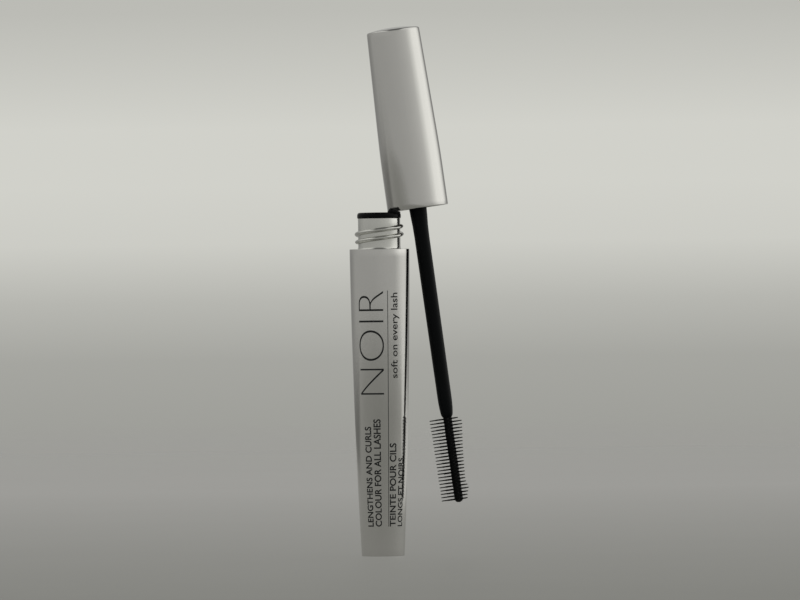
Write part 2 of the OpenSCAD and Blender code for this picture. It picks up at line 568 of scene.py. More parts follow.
class Finish:
    """A surface finish, which builds its own material."""

    title: str = "finish"

    def make(self) -> bpy.types.Material:
        """Builds the material.

        Returns:
            The material.
        """
        material = bpy.data.materials.new(self.title)
        material.use_nodes = True
        sheet = Sheet(material.node_tree)
        shader = sheet.node("ShaderNodeBsdfPrincipled")
        self.paint(sheet, shader)
        sheet.node("ShaderNodeOutputMaterial", {}, {"Surface": shader.outputs[0]})
        return material

    def paint(self, sheet: Sheet, shader: bpy.types.Node) -> None:
        """Feeds the shader.

        Args:
            sheet: the material's sheet.
            shader: its Principled shader.
        """
        raise NotImplementedError


def _feed(sheet: Sheet, shader: bpy.types.Node, **sockets: object) -> None:
    """Sets or links a shader's inputs, named with _ for a space."""
    for key, value in sockets.items():
        sheet.feed(shader.inputs[key.replace("_", " ")], value)


@dataclass(frozen=True)
class SatinSilver(Finish):
    """Metallised silver with a soft cloudiness, a fine grain and a few rub marks."""

    title: str = "satin_silver"
    light: tuple = (0.74, 0.735, 0.71)
    dark: tuple = (0.68, 0.675, 0.655)
    gloss: float = 0.05
    lean: float = 0.0

    def paint(self, sheet: Sheet, shader: bpy.types.Node) -> None:
        """Feeds the shader with cloud, grain and rub marks."""
        cloud = sheet.noise(110, 3)
        grain = sheet.noise(5200, 2)
        rubs = (sheet.noise(1800, 4, 9, self.lean) - 0.62) * 4
        marks = rubs * rubs.over(0)
        _feed(
            sheet, shader, Metallic=1.0,
            Base_Color=sheet.between(self.dark, self.light, cloud * 0.7 + grain * 0.3),
            Roughness=self.gloss + cloud * 0.05 + grain * 0.05 + marks * 0.08,
            Normal=sheet.bump(grain * 0.6 + cloud * 0.4, 0.0012 * MM),
        )


@dataclass(frozen=True)
class NeckSilver(Finish):
    """Bright metallised plastic of the neck, with faint moulding draw lines."""

    title: str = "neck_silver"
    light: tuple = (0.78, 0.78, 0.74)
    dark: tuple = (0.69, 0.695, 0.665)

    def paint(self, sheet: Sheet, shader: bpy.types.Node) -> None:
        """Feeds the shader with flow marks."""
        flow = sheet.noise(420, 3, 4)
        grain = sheet.noise(6000, 2)
        _feed(
            sheet, shader, Metallic=0.92,
            Base_Color=sheet.between(self.dark, self.light, flow),
            Roughness=0.09 + flow * 0.06 + grain * 0.04,
            Normal=sheet.bump(flow * 0.7 + grain * 0.3, 0.002 * MM),
        )


@dataclass(frozen=True)
class WetBlack(Finish):
    """Black, wet with product: smooth films between dull, drying patches."""

    title: str = "wet_black"
    light: tuple = (0.0050, 0.0055, 0.0060)
    dark: tuple = (0.0010, 0.0015, 0.0018)
    gloss: float = 0.24
    patch_scale: float = 700.0
    relief: float = 0.02

    def paint(self, sheet: Sheet, shader: bpy.types.Node) -> None:
        """Feeds the shader with films and patches."""
        patch = sheet.noise(self.patch_scale, 4)
        fine = sheet.noise(self.patch_scale * 6, 2)
        dull = (patch - 0.45) * 2.2
        held = dull * dull.over(0)
        _feed(
            sheet, shader,
            Base_Color=sheet.between(self.dark, self.light, held),
            Roughness=self.gloss + held * 0.35,
            Normal=sheet.bump(patch * 0.7 + fine * 0.3, self.relief * MM),
            Specular_IOR_Level=0.12,
        )


@dataclass(frozen=True)
class RodBlack(Finish):
    """Black moulded rod with a streaked film of product drawn down its length."""

    title: str = "rod_black"
    lean: float = 0.0
    light: tuple = (0.0055, 0.0065, 0.0075)
    dark: tuple = (0.0012, 0.0022, 0.0028)

    def paint(self, sheet: Sheet, shader: bpy.types.Node) -> None:
        """Feeds the shader with streaks along the rod."""
        streak = sheet.noise(2600, 3, 18, self.lean)
        patch = sheet.noise(260, 2, 2, self.lean)
        _feed(
            sheet, shader,
            Base_Color=sheet.between(self.dark, self.light, streak * patch),
            Roughness=0.26 + streak * 0.22 + patch * 0.12,
            Normal=sheet.bump(streak * 0.8 + patch * 0.2, 0.006 * MM),
            Specular_IOR_Level=0.10,
        )


@dataclass(frozen=True)
class NaturalPlastic(Finish):
    """Natural moulded plastic: milky, with faint flow lines and a soft gloss."""

    title: str = "natural_plastic"
    light: tuple = (0.72, 0.71, 0.67)
    dark: tuple = (0.62, 0.61, 0.58)

    def paint(self, sheet: Sheet, shader: bpy.types.Node) -> None:
        """Feeds the shader with flow lines."""
        flow = sheet.noise(380, 3, 3)
        fine = sheet.noise(5200, 2)
        _feed(
            sheet, shader,
            Base_Color=sheet.between(self.dark, self.light, flow),
            Roughness=0.38 + flow * 0.14,
            Normal=sheet.bump(flow * 0.5 + fine * 0.5, 0.004 * MM),
        )


@dataclass(frozen=True)
class WasherFoam(Finish):
    """White closed-cell foam with small cells and patchy grey stains."""

    title: str = "washer_foam"
    light: tuple = (0.80, 0.79, 0.76)
    dark: tuple = (0.55, 0.54, 0.52)

    def paint(self, sheet: Sheet, shader: bpy.types.Node) -> None:
        """Feeds the shader with foam cells."""
        cells = sheet.node(
            "ShaderNodeTexVoronoi", {}, {"Vector": sheet.object_point(), "Scale": 6500}
        )
        height = Value(sheet, cells.outputs["Distance"])
        stain = sheet.noise(500, 3)
        _feed(
            sheet, shader,
            Base_Color=sheet.between(self.dark, self.light, height * 0.6 + stain * 0.6),
            Roughness=0.7 + stain * 0.2,
            Normal=sheet.bump(height, 0.02 * MM),
        )


@dataclass(frozen=True)
class PrintInk(Finish):
    """Dark grey pad-printed ink, a little thin in places."""

    title: str = "print_ink"
    light: tuple = (0.030, 0.033, 0.034)
    dark: tuple = (0.012, 0.013, 0.014)

    def paint(self, sheet: Sheet, shader: bpy.types.Node) -> None:
        """Feeds the shader with uneven ink."""
        thin = sheet.noise(2400, 3)
        _feed(
            sheet, shader,
            Base_Color=sheet.between(self.dark, self.light, thin),
            Roughness=0.42 + thin * 0.2,
            Normal=sheet.bump(thin, 0.002 * MM),
            Specular_IOR_Level=0.2,
        )


# ---------------------------------------------------------------- the object's pieces


def settle(piece: bpy.types.Object, body: Body, slot: Slot, finish: bpy.types.Material,
           *nodes: str) -> bpy.types.Object:
    """Dresses a piece and hangs it on its body.

    Args:
        piece: the finished mesh.
        body: the body that it moves with.
        slot: the record's material slot of its finish; it is not used.
        finish: its material.
        nodes: the nodes of the frame that it stands for.

    Returns:
        The piece.
    """
    piece.data.materials.clear()
    piece.data.materials.append(finish)
    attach(piece, body.value)
    if nodes:
        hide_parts(*nodes)
    LOG.info("%s rides on %s with %d faces", piece.name, body.value, len(piece.data.polygons))
    return piece


@dataclass
class Bottle:
    """The silver sleeve of the bottle and the plug that closes its foot."""

    height: float = field(default_factory=lambda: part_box("bottle_shell")[1].z)
    top_radius: float = field(default_factory=lambda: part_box("bottle_shell")[1].x)
    plug_radius: float = field(default_factory=lambda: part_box("base_plug")[1].x)
    plug_top: float = field(default_factory=lambda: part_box("base_plug")[1].z)
    base_radius: float = 5.8 * MM
    bulge: float = 0.43 * MM
    wall: float = 0.7 * MM
    shoulder_edge: float = 0.10 * MM
    foot_edge: float = 0.10 * MM
    plug_edge: float = 0.12 * MM
    plug_rim: float = 1.0 * MM
    plug_recess: float = 0.25 * MM
    groove_radii: tuple = (3.6 * MM, 3.7 * MM, 3.95 * MM, 4.05 * MM)
    groove_depth: float = 0.12 * MM
    gate_radii: tuple = (0.5 * MM, 0.62 * MM)
    gate_depth: float = 0.1 * MM

    def radius_at(self, height: float) -> float:
        """The sleeve's outside radius at a height."""
        t = height / self.height
        straight = self.base_radius + (self.top_radius - self.base_radius) * t
        return straight + 4 * self.bulge * t * (1 - t)

    def sleeve(self) -> bpy.types.Object:
        """Turns the sleeve.

        Returns:
            The sleeve.
        """
        foot, edge = self.foot_edge, self.shoulder_edge
        high = self.height - edge
        base, top = self.radius_at(foot), self.radius_at(high)
        turning = Turning("bottle_sleeve", self.base_radius - self.wall, 0, 160)
        turning.along(fillet((base - foot, foot), foot, 270, 360, 5))
        turning.along(sampled(self.radius_at, foot, high, 40)[1:])
        turning.along(fillet((top - edge, high), edge, 0, 90, 4)[1:])
        turning.along(fillet((top - self.wall + edge, high), edge, 90, 180, 4))
        turning.along(sampled(lambda z: self.radius_at(z) - self.wall, high, 0, 20)[1:])
        return turning.done()

    def plug(self) -> bpy.types.Object:
        """Turns the foot plug, with a moulded ring and a gate dimple underneath.

        Returns:
            The plug.
        """
        r, top, edge = self.plug_radius, self.plug_top, self.plug_edge
        depths = (0, self.groove_depth, self.groove_depth, 0)
        turning = Turning("foot_plug", self.gate_radii[0], self.gate_depth, 96)
        turning.to(self.gate_radii[1], 0)
        turning.along(zip(self.groove_radii, depths))
        turning.to(r - edge, 0)
        turning.along(fillet((r - edge, edge), edge, 270, 360, 4)[1:])
        turning.along([(r, top), (r - self.plug_rim, top)])
        turning.to(r - self.plug_rim, top - self.plug_recess)
        turning.to_point(top - self.plug_recess)
        return turning.done()

    def build(self) -> bpy.types.Object:
        """Builds and dresses both pieces.

        Returns:
            The sleeve, which the lettering is printed on.
        """
        silver = SatinSilver().make()
        settle(self.plug(), Body.BOTTLE, Slot.SILVER, silver, "base_plug")
        return settle(self.sleeve(), Body.BOTTLE, Slot.SILVER, silver, "bottle_shell")


@dataclass
class Vial:
    """The inner vial: a tapered tube, a shoulder that seats in the sleeve, and a threaded neck."""

    bottle: Bottle
    foot: float = field(default_factory=lambda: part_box("vial")[0].z)
    top: float = field(default_factory=lambda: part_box("vial")[1].z)
    floor_wall: float = 0.7 * MM
    wall: float = 0.6 * MM
    bore_radius: float = 4.45 * MM
    bore_spread: float = 1.55 * MM
    shoulder_drop: float = 6.4 * MM
    seat_drop: float = 3.2 * MM
    ledge_drop: float = 0.3 * MM
    seat_gap: float = 0.74 * MM
    neck_radius: float = 5.7 * MM
    neck_bore: float = 4.75 * MM
    flare: float = 0.9 * MM
    edge: float = 0.1 * MM
    foot_width: float = 1.4 * MM
    foot_round: float = 0.5 * MM
    bore_step: float = 1.0 * MM
    floor_chamfer: float = 0.4 * MM
    thread_bite: float = 0.02 * MM
    thread_crest: float = 6.65 * MM
    thread_width: float = 1.25 * MM
    thread_lead: float = 4.4 * MM
    thread_rise: float = 1.83 * MM
    # Each start: its first and last angle, and the angle that its height is taken from.
    thread_starts: tuple = ((172, 460, -8), (80, 368, 80))

    @property
    def shoulder(self) -> float:
        """The height at which the tapered tube ends."""
        return self.bottle.height - self.shoulder_drop

    def bore_at(self, height: float) -> float:
        """The vial's inside radius at a height."""
        share = (height - self.foot) / (self.shoulder - self.foot)
        return self.bore_radius + self.bore_spread * share

    def body(self) -> bpy.types.Object:
        """Turns the vial and its neck, without the threads.

        Returns:
            The turned body.
        """
        seat = self.bottle.height - self.seat_drop
        ledge = self.bottle.height - self.ledge_drop
        seat_radius = self.bottle.radius_at(seat) - self.seat_gap
        floor = self.foot + self.floor_wall
        base = self.bore_at(self.foot) + self.wall
        edge, neck, bore = self.edge, self.neck_radius, self.neck_bore
        low, chamfer = self.foot + self.foot_round, self.floor_chamfer
        turning = Turning("vial_and_neck", base - self.foot_width, self.foot, 144)
        turning.along(fillet((base - self.foot_round, low), self.foot_round, 270, 360, 5))
        turning.along(sampled(lambda z: self.bore_at(z) + self.wall, low, self.shoulder, 8)[1:])
        turning.to(seat_radius, seat)
        turning.along(fillet((seat_radius - edge, ledge - edge), edge, 0, 90, 3))
        turning.along(fillet((neck + self.flare, ledge + self.flare), self.flare, 270, 180, 8))
        turning.along(fillet((neck - edge, self.top - edge), edge, 0, 90, 3))
        turning.along(fillet((bore + edge, self.top - edge), edge, 90, 180, 3))
        turning.along([(bore, seat), (self.bore_at(self.shoulder), self.shoulder - self.bore_step)])
        turning.to(self.bore_at(floor + chamfer), floor + chamfer)
        turning.to(self.bore_at(floor) - chamfer, floor)
        turning.to_point(floor)
        return turning.done()

    def ridges(self) -> list[bpy.types.Object]:
        """Sweeps the two starts of the thread.

        Returns:
            The ridges, one for each start.
        """
        foot = self.bottle.height + self.thread_rise
        return [
            helix_ridge(
                f"thread_start_{first}", self.neck_radius - self.thread_bite, self.thread_crest,
                self.thread_width, foot + self.thread_lead * offset / 360, self.thread_lead,
                first, last,
            )
            for first, last, offset in self.thread_starts
        ]

    def build(self) -> None:
        """Builds the vial with its threads and dresses it."""
        vial = self.body()
        for ridge in self.ridges():
            Bench.modify(vial, "BOOLEAN", object=ridge, operation="UNION", solver="EXACT")
            bpy.data.objects.remove(ridge)
        Bench.smooth(vial, 40)
        settle(vial, Body.BOTTLE, Slot.NECK, NeckSilver().make(), "vial")


@dataclass
class Wiper:
    """The rubber wiper: a rounded flange on the neck, a tube and a funnel with its orifice."""

    vial: Vial
    radius: float = field(default_factory=lambda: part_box("wiper")[1].x)
    top: float = field(default_factory=lambda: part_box("wiper")[1].z)
    seat: float = 0.005 * MM
    gap: float = 0.03 * MM
    wall: float = 0.6 * MM
    lip_radius: float = 2.0 * MM
    tube_drop: float = 6.0 * MM
    orifice_drop: float = 11.5 * MM
    lip_length: float = 1.2 * MM
    lip_back: float = 0.8 * MM
    round_edge: float = 0.7 * MM
    under_edge: float = 0.2 * MM
    inner_edge: float = 0.4 * MM

    def rubber(self) -> bpy.types.Object:
        """Turns the wiper.

        Returns:
            The wiper.
        """
        tube, edge = self.vial.neck_bore - self.gap, self.round_edge
        mouth, under = self.top - self.orifice_drop, self.vial.top + self.seat
        corner, inner, bead = self.under_edge, self.inner_edge, self.wall / 2
        turning = Turning("wiper", self.lip_radius, mouth + self.lip_length, 128)
        turning.along(fillet((self.lip_radius + bead, mouth + bead), bead, 180, 360, 8))
        turning.to(self.lip_radius + self.wall, mouth + self.lip_back)
        turning.along([(tube, self.top - self.tube_drop), (tube, under)])
        turning.along(fillet((self.radius - corner, under + corner), corner, 270, 360, 4))
        turning.along(fillet((self.radius - edge, self.top - edge), edge, 0, 90, 9))
        turning.along(fillet((tube - self.wall + inner, self.top - inner), inner, 90, 180, 6))
        turning.to(tube - self.wall, self.top - self.tube_drop)
        turning.to(self.lip_radius, mouth + self.lip_length)
        return turning.done(50)

    def build(self) -> None:
        """Builds and dresses the wiper."""
        black = WetBlack("wiper_rubber", gloss=0.30, patch_scale=600).make()
        settle(self.rubber(), Body.BOTTLE, Slot.RUBBER, black, "wiper")


@dataclass
class Product:
    """The mascara: a lining left in the vial, and a bead wiped off on the rim."""

    vial: Vial
    wiper: Wiper
    low: float = field(default_factory=lambda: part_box("mascara_paste")[0].z)
    high: float = field(default_factory=lambda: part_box("mascara_paste")[1].z)
    film: float = 0.05 * MM
    skin: float = 0.3 * MM
    foot_inset: float = 0.6 * MM
    top_gap: float = 0.1 * MM
    top_round: float = 0.25 * MM
    channel: float = 3.3 * MM
    channel_ends: tuple = (3.0 * MM, 2.0 * MM)
    channel_round: float = 1.0 * MM
    floor: float = 0.6 * MM
    clots: tuple = (2.4 * MM, 0.5 * MM)
    ripples: tuple = (1.6 * MM, 0.05 * MM)
    # Each lump: x, y, its middle's rise over the rim, and its radius, in millimetres.
    lumps: tuple = (
        (3.45, -3.62, 0.24, 0.96), (2.85, -3.85, -0.05, 0.62), (4.05, -3.60, 0.15, 0.74),
        (4.65, -3.50, 0.06, 0.52), (5.15, -2.95, -0.04, 0.44), (5.45, -2.35, -0.10, 0.38),
    )
    voxel: float = 0.1 * MM
    bury: float = 0.5 * MM

    def lining(self) -> bpy.types.Object:
        """Turns the product in the vial and roughens the channel that the rod leaves.

        Returns:
            The lining.
        """
        low, high, film = self.low, self.high, self.film
        bore, foot_round = self.vial.bore_at, self.channel_round
        turning = Turning("mascara_lining", bore(low) - film - self.foot_inset, low, 96)
        turning.to(bore(low) - film, low + self.skin)
        turning.to(bore(high) - film, high - self.top_gap)
        turning.along(fillet((bore(high) - self.skin, high - self.top_round),
                             self.top_round, 0, 180, 6))
        turning.along(sampled(lambda z: self.channel, high - self.channel_ends[0],
                              low + self.channel_ends[1], 60))
        turning.along(fillet((self.channel - foot_round, low + self.floor + foot_round),
                             foot_round, 0, -90, 5))
        turning.to_point(low + self.floor)
        lining = turning.done(60)
        near = self.channel + self.skin
        Bench.roughen(
            lining, *self.clots,
            lambda point: Vector(point[:2]).length < near and point.z > low + self.skin,
        )
        return lining

    def bead(self) -> bpy.types.Object:
        """Lumps together the bead on the rim, and its drawn-out tail.

        Returns:
            The bead.
        """
        balls = []
        for x, y, rise, radius in self.lumps:
            Bench.clear()
            bpy.ops.mesh.primitive_uv_sphere_add(
                segments=24, ring_count=16, radius=radius * MM,
                location=(x * MM, y * MM, self.wiper.top + rise * MM),
            )
            balls.append(bpy.context.object)
        bead = Bench.join("mascara_bead", balls)
        Bench.bake_place(bead)
        Bench.modify(bead, "REMESH", mode="VOXEL", voxel_size=self.voxel)
        Bench.modify(bead, "SMOOTH", factor=0.6, iterations=8)
        Bench.modify(bead, "SUBSURF", levels=1)
        Bench.roughen(bead, *self.ripples, lambda point: True)
        Bench.edit(bead)
        bpy.ops.mesh.bisect(
            plane_co=(0, 0, self.wiper.top - self.bury), plane_no=(0, 0, 1),
            use_fill=True, clear_inner=True,
        )
        Bench.smooth(bead, 60)
        return bead

    def build(self) -> None:
        """Builds and dresses both pieces."""
        wet = WetBlack(gloss=0.22, patch_scale=900, relief=0.03).make()
        settle(self.lining(), Body.BOTTLE, Slot.MASCARA, wet, "mascara_paste")
        settle(self.bead(), Body.BOTTLE, Slot.MASCARA, wet, "mascara_bead")


class Weight(Enum):
    """The stroke weights of the printed lettering, as the outline's offset in ems."""

    THIN = -0.028
    REGULAR = 0.010
    BOLD = 0.023


@dataclass
class Print:
    """Generic lettering, printed up the front of the sleeve on both sides of a thin rule."""

    bottle: Bottle
    sleeve: bpy.types.Object
    lift: float = 0.012 * MM
    ink: float = 0.010 * MM
    cells: tuple = (0.45 * MM, 0.0, 1.5 * MM)
    clearance: float = 0.05 * MM
    cap_share: float = 0.64
    rule_angle: float = 15.0
    rule_width: float = 0.16 * MM
    rule_span: tuple = (8.0, 71.6)
    # Each line: words, weight, capitals in mm, angle from the front, and both ends in mm.
    lines: tuple = (
        ("NOIR", Weight.THIN, 7.5, 8.5, 43.6, 71.8),
        ("LENGTHENS AND CURLS", Weight.BOLD, 1.75, -23.7, 8.0, 35.0),
        ("COLOUR FOR ALL LASHES", Weight.BOLD, 1.75, -2.5, 8.0, 37.0),
        ("soft on every lash", Weight.REGULAR, 1.85, 36.0, 48.0, 71.0),
        ("TEINTE POUR CILS", Weight.BOLD, 1.75, 33.4, 8.0, 30.5),
        ("LONGS ET NOIRS", Weight.BOLD, 1.75, 56.0, 8.0, 26.5),
    )

    def flat_line(self, words: str, weight: Weight, height: float, length: float) -> bpy.types.Object:
        """Sets a line of lettering flat, as a mesh.

        Args:
            words: what it says.
            weight: its stroke weight.
            height: the height of its capitals.
            length: its length.

        Returns:
            The flat mesh, its baseline on X.
        """
        Bench.clear()
        bpy.ops.object.text_add()
        line = bpy.context.object
        line.data.body = words
        line.data.offset = weight.value
        line.data.resolution_u = 20 if weight is Weight.THIN else 6
        bpy.ops.object.convert(target="MESH")
        size = height / self.cap_share
        start = min(v.co.x for v in line.data.vertices)
        stretch = length / (max(v.co.x for v in line.data.vertices) - start)
        line.scale = (stretch, size, size)
        line.location = (-start * stretch, 0, 0)
        Bench.bake_place(line)
        return line

    def flat_rule(self, length: float) -> bpy.types.Object:
        """Cuts the thin rule flat.

        Args:
            length: its length.

        Returns:
            The flat mesh, its middle line on X.
        """
        Bench.clear()
        bpy.ops.mesh.primitive_plane_add(size=1, location=(length / 2, 0, 0))
        rule = bpy.context.object
        rule.scale = (length, self.rule_width, 1)
        Bench.bake_place(rule)
        return rule

    def wrap(self, flat: bpy.types.Object, angle: float, start: float, end: float) -> None:
        """Turns a flat line upright, bends it round the sleeve and lays it on the surface.

        Args:
            flat: the flat mesh.
            angle: the baseline's angle from the front, in degrees.
            start: the height at which it starts.
            end: the height at which it ends.
        """
        radius = self.bottle.radius_at(end) + self.clearance
        upright = Matrix(((0, -1, 0), (0, 0, -1), (1, 0, 0))).to_4x4()
        shift = Matrix.Translation((math.radians(angle) * radius, 0, start))
        flat.matrix_world = shift @ upright
        Bench.bake_place(flat)
        Bench.edit(flat)
        for axis in (0, 2):
            places = [v.co[axis] for v in flat.data.vertices]
            for i in range(1, math.ceil((max(places) - min(places)) / self.cells[axis])):
                cut, along = [0.0, 0.0, 0.0], [0.0, 0.0, 0.0]
                cut[axis], along[axis] = min(places) + i * self.cells[axis], 1.0
                bpy.ops.mesh.select_all(action="SELECT")
                bpy.ops.mesh.bisect(plane_co=cut, plane_no=along)
        Bench.clear()
        width = max(v.co.x for v in flat.data.vertices) - min(v.co.x for v in flat.data.vertices)
        Bench.modify(flat, "SIMPLE_DEFORM", deform_method="BEND", deform_axis="Z",
                     angle=width / radius)
        flat.location = (0, -radius, 0)
        Bench.bake_place(flat)
        Bench.modify(flat, "SHRINKWRAP", target=self.sleeve, wrap_method="NEAREST_SURFACEPOINT",
                     wrap_mode="OUTSIDE_SURFACE", offset=self.lift)

    def build(self) -> None:
        """Prints every line and the rule as one piece."""
        printed = []
        for words, weight, height, angle, start, end in self.lines:
            line = self.flat_line(words, weight, height * MM, (end - start) * MM)
            self.wrap(line, angle, start * MM, end * MM)
            printed.append(line)
        low, high = (z * MM for z in self.rule_span)
        rule = self.flat_rule(high - low)
        self.wrap(rule, self.rule_angle, low, high)
        print_piece = Bench.join("printed_lettering", printed + [rule])
        Bench.modify(print_piece, "SOLIDIFY", thickness=self.ink, offset=1)
        settle(print_piece, Body.BOTTLE, Slot.INK, PrintInk().make())


@dataclass
class Leaning:
    """Where the applicator leans: its parts are made about its own axis, from the cap's mouth."""

    joint: dict = field(default_factory=lambda: next(
        j for j in frame["joints"] if j["name"] == "applicator_twist"))

    @property
    def place(self) -> Matrix:
        """Takes a part from the applicator's own axis to where it leans."""
        axis = Vector(self.joint["axis"]).normalized()
        turn = Vector((0, 0, 1)).rotation_difference(axis).to_matrix().to_4x4()
        return Matrix.Translation(self.joint["pos_m"]) @ turn

    @property
    def lean(self) -> float:
        """The lean about Y, in radians."""
        axis = Vector(self.joint["axis"])
        return math.atan2(axis.x, axis.z)

    def settle_in(self, piece: bpy.types.Object) -> bpy.types.Object:
        """Moves a part that was made upright to where it leans.

        Args:
            piece: the part.

        Returns:
            The part, its place in its mesh.
        """
        piece.matrix_world = self.place @ piece.matrix_world
        Bench.bake_place(piece)
        return piece


@dataclass
class Cap:
    """The silver cap and the threaded socket that is pressed into it."""

    pose: Leaning
    height: float = 48.7 * MM
    radius: float = 8.25 * MM
    taper: float = 0.0325
    break_height: float = 14.5 * MM
    bend: float = 4.0 * MM
    crown: float = 0.66 * MM
    wall: float = 0.8 * MM
    edge: float = 0.5 * MM
    lip: float = 0.2 * MM
    roof_dome: float = 0.2 * MM
    roof_pin: float = 1.0 * MM
    socket_radius: float = 6.75 * MM
    socket_height: float = 10.8 * MM
    socket_rim: float = 0.35 * MM
    socket_outside: float = 7.33 * MM
    socket_roof: float = 1.5 * MM
    boss_radius: float = 3.7 * MM
    boss_height: float = 22 * MM
    boss_round: float = 0.5 * MM
    boss_bore: float = 1.2 * MM
    skirt_drop: float = 4.0 * MM
    skirt_gap: float = 0.05 * MM
    skirt_wall: float = 0.6 * MM
    skirt_rises: tuple = (3.0 * MM, 2.0 * MM)
    rod_socket: float = 2.94 * MM
    rod_top: float = 20.05 * MM
    lead_in: float = 0.3 * MM
    rim_edge: float = 0.1 * MM
    corner: float = 0.2 * MM
    thread_lead: float = 4.4 * MM
    thread_crest: float = 6.02 * MM
    thread_width: float = 1.2 * MM
    thread_rise: float = 2.7 * MM
    thread_bite: float = 0.02 * MM
    thread_sweep: float = 240.0

    def radius_at(self, height: float) -> float:
        """The cap's outside radius at a height over its mouth."""
        rise = height - self.break_height
        return self.radius - self.taper / 2 * (rise + math.hypot(rise, self.bend))

    def shell(self) -> bpy.types.Object:
        """Turns the cap's shell, from its roof inside round to its domed crown.

        Returns:
            The shell.
        """
        lip, edge, wall = self.lip, self.edge, self.wall
        roof = self.height - wall + self.roof_dome
        top = self.radius_at(self.height)
        flat = top - edge
        dome = (flat ** 2 + self.crown ** 2) / (2 * self.crown)
        spread = math.degrees(math.asin(flat / dome))
        turning = Turning("cap_shell", self.roof_pin, roof, 160)
        turning.to(self.radius_at(roof) - wall, roof)
        turning.along(sampled(lambda h: self.radius_at(h) - wall, roof, lip / 2, 24)[1:])
        turning.along(fillet((self.radius_at(0) - wall + lip / 2, lip / 2), lip / 2, 180, 270, 3))
        turning.along(fillet((self.radius_at(0) - lip, lip), lip, 270, 360, 5))
        turning.along(sampled(self.radius_at, lip, self.height - edge, 40)[1:])
        turning.along(fillet((flat, self.height - edge), edge, 8, 90 - spread, 7))
        turning.along(fillet((0, self.height + self.crown - dome), dome, 90 - spread, 89, 9)[1:])
        turning.to_point(self.height + self.crown)
        return self.pose.settle_in(turning.done(30))

    def socket(self) -> bpy.types.Object:
        """Turns the threaded socket, with the boss that holds the rod.

        Returns:
            The socket.
        """
        inside, outside, rim = self.socket_radius, self.socket_outside, self.socket_rim
        high, boss, top = self.socket_height, self.boss_radius, self.boss_height
        roof, skirt_top, corner = high + self.socket_roof, top - self.skirt_drop, self.corner
        upper = self.radius_at(skirt_top) - self.wall - self.skirt_gap
        inner = upper - self.skirt_wall
        turning = Turning("threaded_socket", self.rod_socket, high, 128)
        turning.along([(inside - corner, high), (inside, high - corner),
                       (inside, rim + self.lead_in), (inside + self.lead_in, rim)])
        turning.along([(outside - self.rim_edge, rim), (outside, rim + self.rim_edge),
                       (outside, high), (upper, roof + self.skirt_rises[0])])
        turning.along([(upper, skirt_top), (inner, skirt_top),
                       (inner, roof + self.skirt_rises[1])])
        turning.along(fillet((boss + self.boss_round, roof + self.boss_round),
                             self.boss_round, 270, 180, 4))
        turning.along([(boss, top - corner), (boss - corner, top), (self.boss_bore, top)])
        turning.along([(self.boss_bore, self.rod_top), (self.rod_socket, self.rod_top),
                       (self.rod_socket, high)])
        socket = turning.done()
        for first in (180, 0):
            ridge = helix_ridge(
                f"socket_thread_{first}", inside + self.thread_bite, self.thread_crest,
                self.thread_width, self.thread_rise, self.thread_lead,
                first, first + self.thread_sweep,
            )
            Bench.modify(socket, "BOOLEAN", object=ridge, operation="UNION", solver="EXACT")
            bpy.data.objects.remove(ridge)
        Bench.smooth(socket, 32)
        return self.pose.settle_in(socket)

    def build(self) -> None:
        """Builds and dresses both pieces."""
        silver = SatinSilver("cap_silver", lean=self.pose.lean).make()
        settle(self.shell(), Body.APPLICATOR, Slot.SILVER, silver, "cap_shell")
        settle(self.socket(), Body.APPLICATOR, Slot.INNER, NaturalPlastic().make(), "inner_cap")


@dataclass
class SealingWasher:
    """The foam washer at the top of the socket, which seals the neck."""

    pose: Leaning
    low: float = 9.7 * MM
    thickness: float = 1.0 * MM
    radius: float = 6.55 * MM
    hole: float = 3.0 * MM
    edge: float = 0.15 * MM
    print_radius: float = 5.1 * MM
    print_depth: float = 0.06 * MM

    def build(self) -> None:
        """Turns the washer, with the groove that the neck's lip has pressed into it."""
        low, high, edge = self.low, self.low + self.thickness, self.edge
        pressed = [(self.print_radius + step * MM, low + drop * self.print_depth)
                   for step, drop in ((-0.5, 0), (-0.35, 0.7), (0, 1), (0.35, 0.7), (0.5, 0))]
        turning = Turning("sealing_washer", self.hole, low + edge, 112)
        turning.along(fillet((self.hole + edge, low + edge), edge, 180, 270, 4)[1:])
        turning.along(pressed)
        turning.along(fillet((self.radius - edge, low + edge), edge, 270, 360, 4))
        turning.along(fillet((self.radius - edge, high - edge), edge, 0, 90, 4))
        turning.along(fillet((self.hole + edge, high - edge), edge, 90, 180, 4))
        turning.to(self.hole, low + edge)
        washer = self.pose.settle_in(turning.done())
        settle(washer, Body.SEAL, Slot.FOAM, WasherFoam().make(), "sealing_washer")


